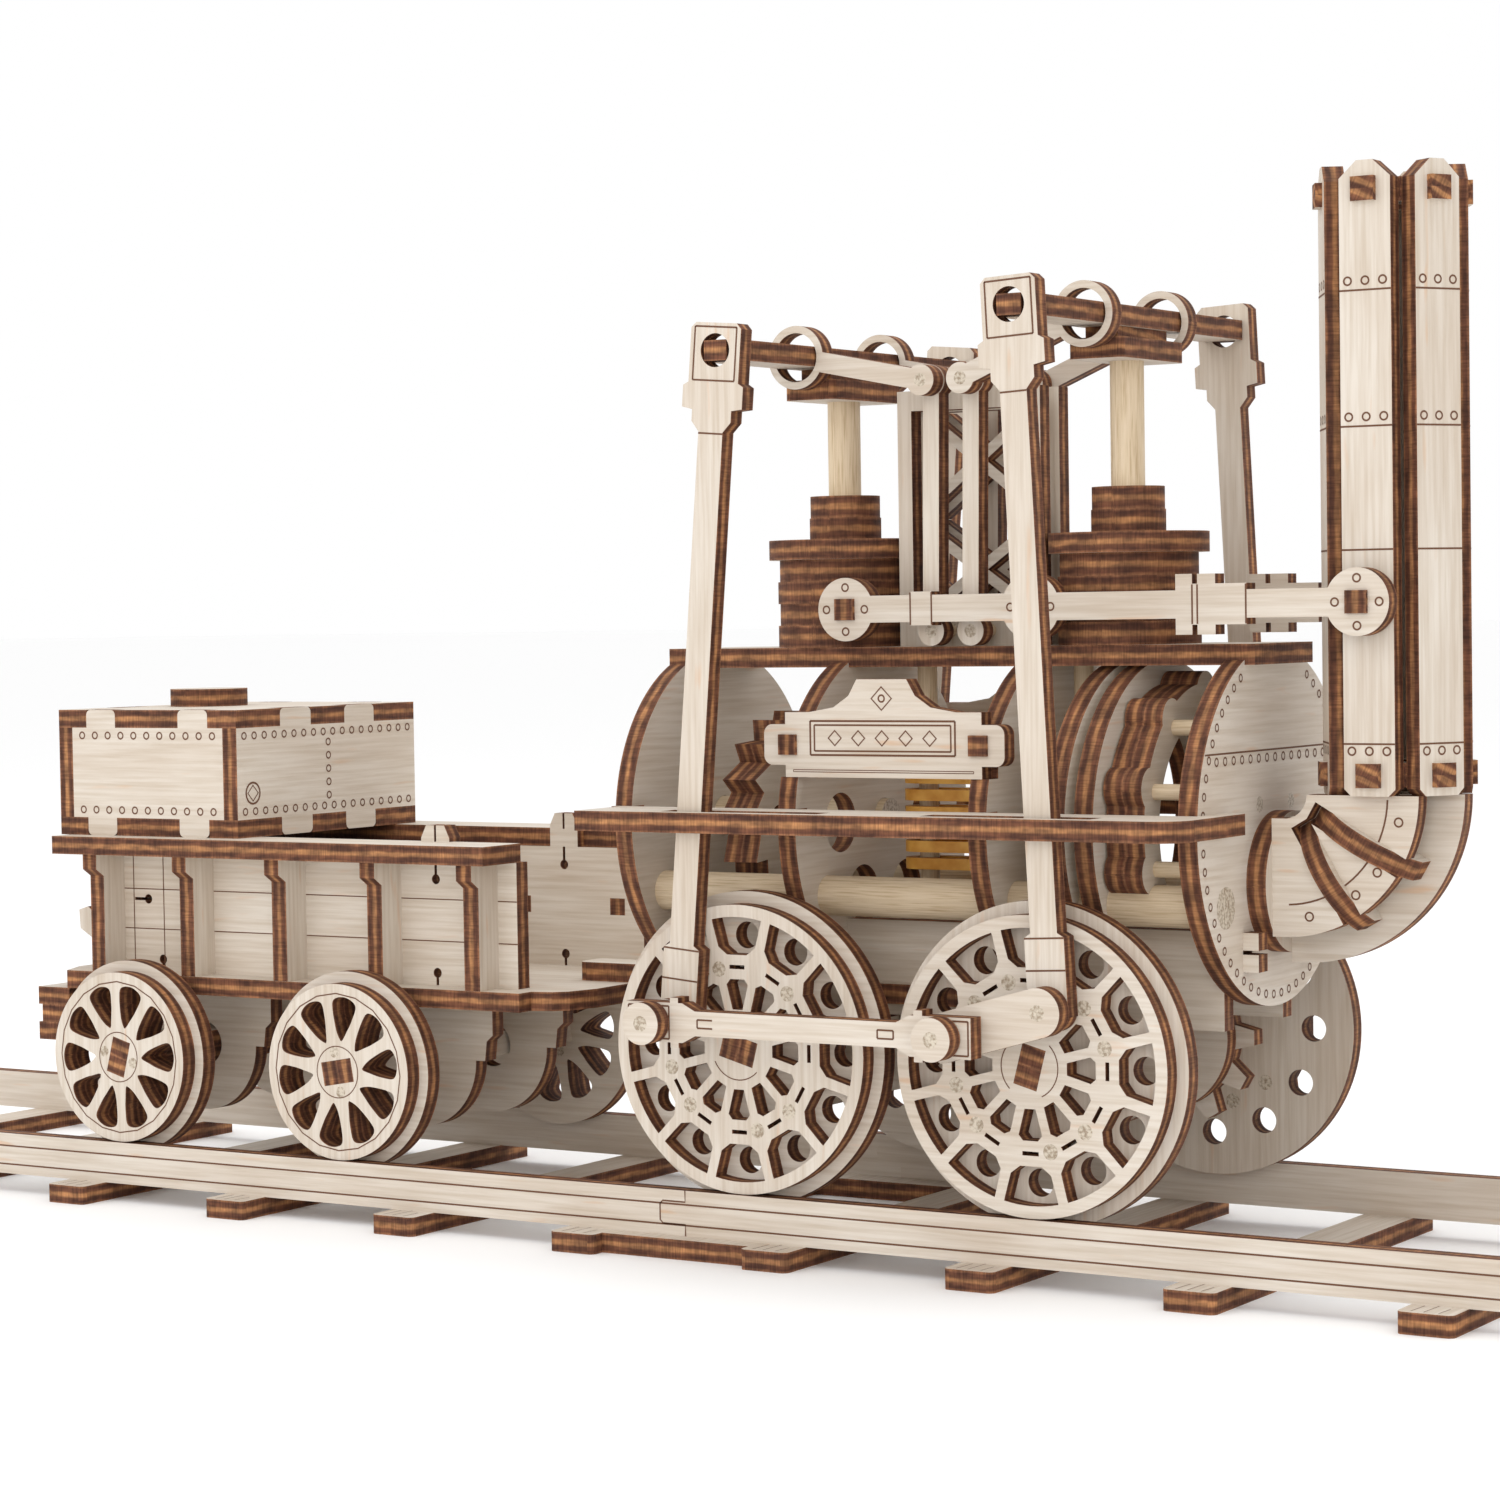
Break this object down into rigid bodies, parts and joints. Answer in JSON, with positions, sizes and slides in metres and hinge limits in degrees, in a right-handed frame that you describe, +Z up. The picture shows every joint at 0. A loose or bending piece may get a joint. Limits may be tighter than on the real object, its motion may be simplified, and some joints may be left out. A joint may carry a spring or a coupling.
{
  "type": "wooden model locomotive",
  "caption": "Laser-cut plywood steam locomotive with its tender on a length of wooden track; wheels, rods, pistons and a winding ratchet move.",
  "frame": {"origin": "middle of the underside of the track, at the rail joint", "axes": "+X along the track towards the chimney, +Y to the far side, +Z up"},
  "size_m": [0.408, 0.0922, 0.1568],
  "materials": {
    "birch_ply": "raw laser-cut birch plywood with brown edges",
    "dowel_wood": "raw turned dowel",
    "rubber_band": "amber rubber"
  },
  "bodies": {
    "track": {"near_rails": "birch_ply", "far_rails": "birch_ply", "sleepers": "birch_ply", "joint_sleeper": "birch_ply"},
    "locomotive": {"main_frames": "birch_ply", "cross_ties": "birch_ply", "boiler_rear_plate": "birch_ply", "boiler_formers": "birch_ply", "boiler_front_plate": "birch_ply", "motor_rings": "birch_ply", "boiler_dowels": "dowel_wood", "top_deck": "birch_ply", "running_boards": "birch_ply", "nameplates": "birch_ply", "cylinder_barrels": "birch_ply", "cylinder_covers": "birch_ply", "lattice_frames": "birch_ply", "guide_links": "birch_ply", "feed_pipes": "birch_ply", "chimney_staves": "birch_ply", "chimney_formers": "birch_ply", "elbow_cheeks": "birch_ply", "elbow_spine": "birch_ply", "elbow_ribs": "birch_ply", "rubber_bands": "rubber_band", "band_pins": "dowel_wood"},
    "winding_ratchet": {"ratchet_wheel": "birch_ply"},
    "front_wheelset": {"front_spoke_discs": "birch_ply", "front_flange_discs": "birch_ply", "front_axle": "birch_ply", "front_crank_pins": "birch_ply", "return_cranks": "birch_ply", "drive_gear": "birch_ply"},
    "rear_wheelset": {"rear_spoke_discs": "birch_ply", "rear_flange_discs": "birch_ply", "rear_axle": "birch_ply", "rear_crank_pins": "birch_ply"},
    "near_coupling_rod": {"near_coupling_rod": "birch_ply"},
    "far_coupling_rod": {"far_coupling_rod": "birch_ply"},
    "front_near_rod": {"front_near_rod": "birch_ply"},
    "front_far_rod": {"front_far_rod": "birch_ply"},
    "rear_near_rod": {"rear_near_rod": "birch_ply"},
    "rear_far_rod": {"rear_far_rod": "birch_ply"},
    "front_piston": {"front_crosshead": "birch_ply", "front_piston_rod": "dowel_wood"},
    "rear_piston": {"rear_crosshead": "birch_ply", "rear_piston_rod": "dowel_wood"},
    "front_arms": {"front_radius_arms": "birch_ply"},
    "rear_arms": {"rear_radius_arms": "birch_ply"},
    "tender": {"tender_sole_board": "birch_ply", "tender_walls": "birch_ply", "tender_posts": "birch_ply", "tender_rims": "birch_ply", "tank_plates": "birch_ply", "tank_panels": "birch_ply", "axle_guards": "birch_ply", "tender_buffers": "birch_ply", "drawbar": "birch_ply"},
    "tender_front_wheelset": {"tender_front_wheelset": "birch_ply"},
    "tender_rear_wheelset": {"tender_rear_wheelset": "birch_ply"}
  },
  "joints": [
    {"name": "train_travel", "type": "slide", "parent": "track", "child": "locomotive", "axis": [1, 0, 0], "range_m": [-0.05, 0.05]},
    {"name": "tender_travel", "type": "slide", "parent": "track", "child": "tender", "axis": [1, 0, 0], "range_m": [-0.05, 0.05]},
    {"name": "winding_spin", "type": "hinge", "parent": "locomotive", "child": "winding_ratchet", "pos_m": [0, 0, 0.0638], "axis": [1, 0, 0], "continuous": true},
    {"name": "front_wheels_spin", "type": "hinge", "parent": "locomotive", "child": "front_wheelset", "pos_m": [0.058, 0, 0.0313], "axis": [0, 1, 0], "continuous": true},
    {"name": "rear_wheels_spin", "type": "hinge", "parent": "locomotive", "child": "rear_wheelset", "pos_m": [0.0095, 0, 0.0313], "axis": [0, 1, 0], "continuous": true},
    {"name": "tender_front_spin", "type": "hinge", "parent": "tender", "child": "tender_front_wheelset", "pos_m": [-0.066, 0, 0.0239], "axis": [0, 1, 0], "continuous": true},
    {"name": "tender_rear_spin", "type": "hinge", "parent": "tender", "child": "tender_rear_wheelset", "pos_m": [-0.1121, 0, 0.0239], "axis": [0, 1, 0], "continuous": true},
    {"name": "near_coupling_spin", "type": "hinge", "parent": "rear_wheelset", "child": "near_coupling_rod", "pos_m": [0.00106, 0, 0.03608], "axis": [0, 1, 0], "continuous": true},
    {"name": "far_coupling_spin", "type": "hinge", "parent": "rear_wheelset", "child": "far_coupling_rod", "pos_m": [0.00106, 0, 0.03608], "axis": [0, 1, 0], "continuous": true},
    {"name": "front_near_rod_spin", "type": "hinge", "parent": "front_wheelset", "child": "front_near_rod", "pos_m": [0.06278, 0, 0.03974], "axis": [0, 1, 0], "continuous": true},
    {"name": "front_far_rod_spin", "type": "hinge", "parent": "front_wheelset", "child": "front_far_rod", "pos_m": [0.06278, 0, 0.03974], "axis": [0, 1, 0], "continuous": true},
    {"name": "rear_near_rod_spin", "type": "hinge", "parent": "rear_wheelset", "child": "rear_near_rod", "pos_m": [0.00106, 0, 0.03608], "axis": [0, 1, 0], "continuous": true},
    {"name": "rear_far_rod_spin", "type": "hinge", "parent": "rear_wheelset", "child": "rear_far_rod", "pos_m": [0.00106, 0, 0.03608], "axis": [0, 1, 0], "continuous": true},
    {"name": "front_piston_travel", "type": "slide", "parent": "locomotive", "child": "front_piston", "axis": [0, 0, 1], "range_m": [-0.018, 0.0013]},
    {"name": "rear_piston_travel", "type": "slide", "parent": "locomotive", "child": "rear_piston", "axis": [0, 0, 1], "range_m": [-0.0141, 0.0052]},
    {"name": "front_arms_swing", "type": "hinge", "parent": "front_piston", "child": "front_arms", "pos_m": [0.058, 0, 0.13773], "axis": [0, 1, 0], "range_deg": [-5, 52]},
    {"name": "rear_arms_swing", "type": "hinge", "parent": "rear_piston", "child": "rear_arms", "pos_m": [0.0095, 0, 0.13381], "axis": [0, 1, 0], "range_deg": [-42, 20]}
  ],
  "couplings": [
    {"joint": "tender_travel", "follows": "train_travel", "ratio": 1},
    {"joint": "front_wheels_spin", "follows": "train_travel", "rad_per_m": 46.729},
    {"joint": "rear_wheels_spin", "follows": "train_travel", "rad_per_m": 46.729},
    {"joint": "tender_front_spin", "follows": "train_travel", "rad_per_m": 71.429},
    {"joint": "tender_rear_spin", "follows": "train_travel", "rad_per_m": 71.429},
    {"joint": "near_coupling_spin", "follows": "train_travel", "rad_per_m": -46.729},
    {"joint": "far_coupling_spin", "follows": "train_travel", "rad_per_m": -46.729},
    {"joint": "front_near_rod_spin", "follows": "train_travel", "rad_per_m": -46.729},
    {"joint": "front_far_rod_spin", "follows": "train_travel", "rad_per_m": -46.729},
    {"joint": "rear_near_rod_spin", "follows": "train_travel", "rad_per_m": -46.729},
    {"joint": "rear_far_rod_spin", "follows": "train_travel", "rad_per_m": -46.729},
    {"joint": "front_arms_swing", "follows": "front_piston_travel", "rad_per_m": -47},
    {"joint": "rear_arms_swing", "follows": "rear_piston_travel", "rad_per_m": 47.2}
  ]
}
